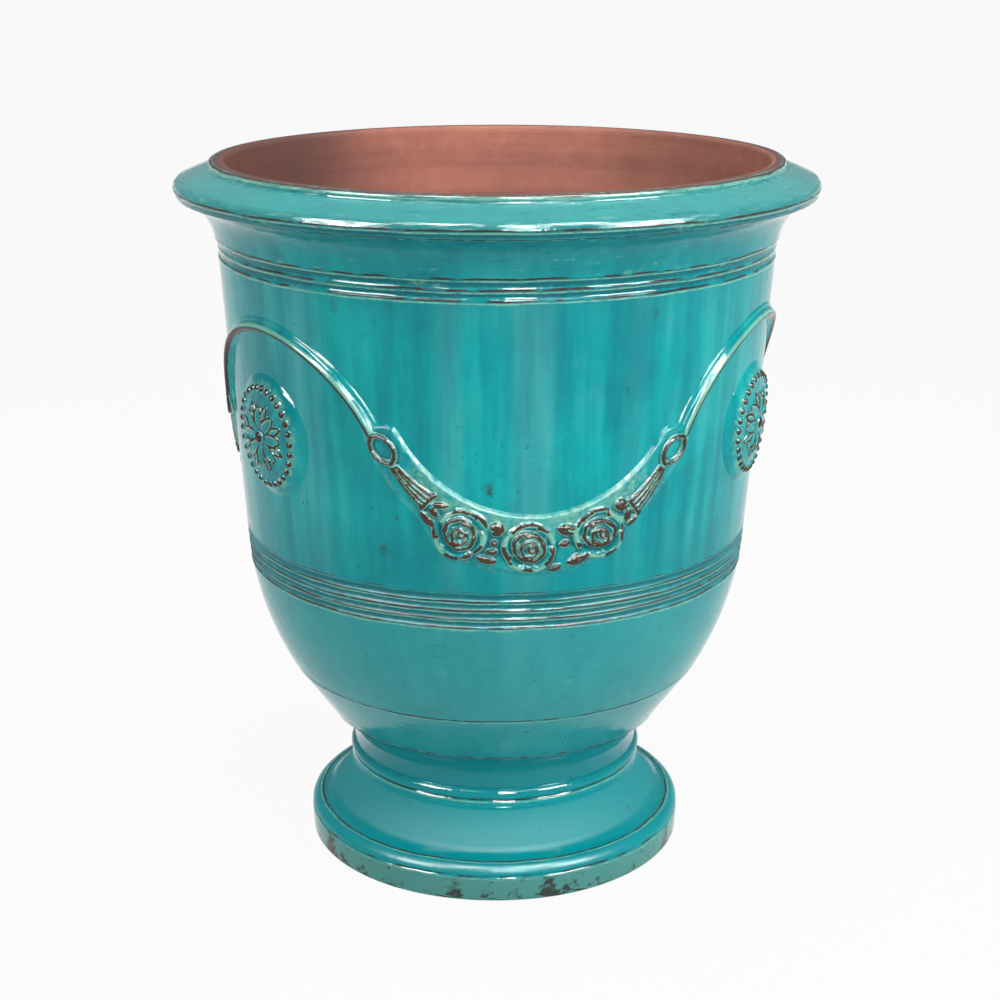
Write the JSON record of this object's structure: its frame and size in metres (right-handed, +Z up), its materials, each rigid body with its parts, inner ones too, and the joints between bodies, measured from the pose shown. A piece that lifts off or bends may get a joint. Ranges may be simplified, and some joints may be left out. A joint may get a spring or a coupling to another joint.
{
  "type": "garden vase",
  "caption": "Glazed earthenware garden vase on a moulded foot: urn-shaped bowl with rose garlands, medallions under festoons, turned bands, a rolled rim and a drain hole.",
  "frame": {"origin": "centre of the ring that the foot stands on, at ground level", "axes": "+Z up along the turning axis, -Y towards the viewer with one garland centred on it, +X to the viewer's right"},
  "size_m": [0.6216, 0.6216, 0.6955],
  "materials": {
    "turquoise_glaze": "glossy turquoise lead-style glaze with vertical runs, over earthenware that is left bare inside",
    "broken_glaze": "the same glaze broken to dark brown and pale green on the crests of the relief"
  },
  "bodies": {
    "root": {"foot": "turquoise_glaze", "lower_bowl": "turquoise_glaze", "upper_bowl": "turquoise_glaze", "rim_collar": "turquoise_glaze", "garland_front_pad": "turquoise_glaze", "garland_right_pad": "turquoise_glaze", "garland_left_pad": "turquoise_glaze", "medallion_pad_right": "turquoise_glaze", "festoon_right": "turquoise_glaze", "medallion_pad_back": "turquoise_glaze", "festoon_back": "turquoise_glaze", "medallion_pad_left": "turquoise_glaze", "festoon_left": "turquoise_glaze", "garland_front_rose_left": "broken_glaze", "garland_front_rose_middle": "broken_glaze", "garland_front_rose_right": "broken_glaze", "garland_front_leaves": "broken_glaze", "garland_front_buds": "broken_glaze", "garland_front_sheath_left": "broken_glaze", "garland_front_sheath_right": "broken_glaze", "garland_front_collar_left": "broken_glaze", "garland_front_collar_right": "broken_glaze", "garland_front_ring_left": "broken_glaze", "garland_front_ring_right": "broken_glaze", "garland_right_rose_left": "broken_glaze", "garland_right_rose_middle": "broken_glaze", "garland_right_rose_right": "broken_glaze", "garland_right_leaves": "broken_glaze", "garland_right_buds": "broken_glaze", "garland_right_sheath_left": "broken_glaze", "garland_right_sheath_right": "broken_glaze", "garland_right_collar_left": "broken_glaze", "garland_right_collar_right": "broken_glaze", "garland_right_ring_left": "broken_glaze", "garland_right_ring_right": "broken_glaze", "garland_left_rose_left": "broken_glaze", "garland_left_rose_middle": "broken_glaze", "garland_left_rose_right": "broken_glaze", "garland_left_leaves": "broken_glaze", "garland_left_buds": "broken_glaze", "garland_left_sheath_left": "broken_glaze", "garland_left_sheath_right": "broken_glaze", "garland_left_collar_left": "broken_glaze", "garland_left_collar_right": "broken_glaze", "garland_left_ring_left": "broken_glaze", "garland_left_ring_right": "broken_glaze", "medallion_beads_right": "broken_glaze", "medallion_rosette_right": "broken_glaze", "medallion_beads_back": "broken_glaze", "medallion_rosette_back": "broken_glaze", "medallion_beads_left": "broken_glaze", "medallion_rosette_left": "broken_glaze"}
  },
  "joints": []
}
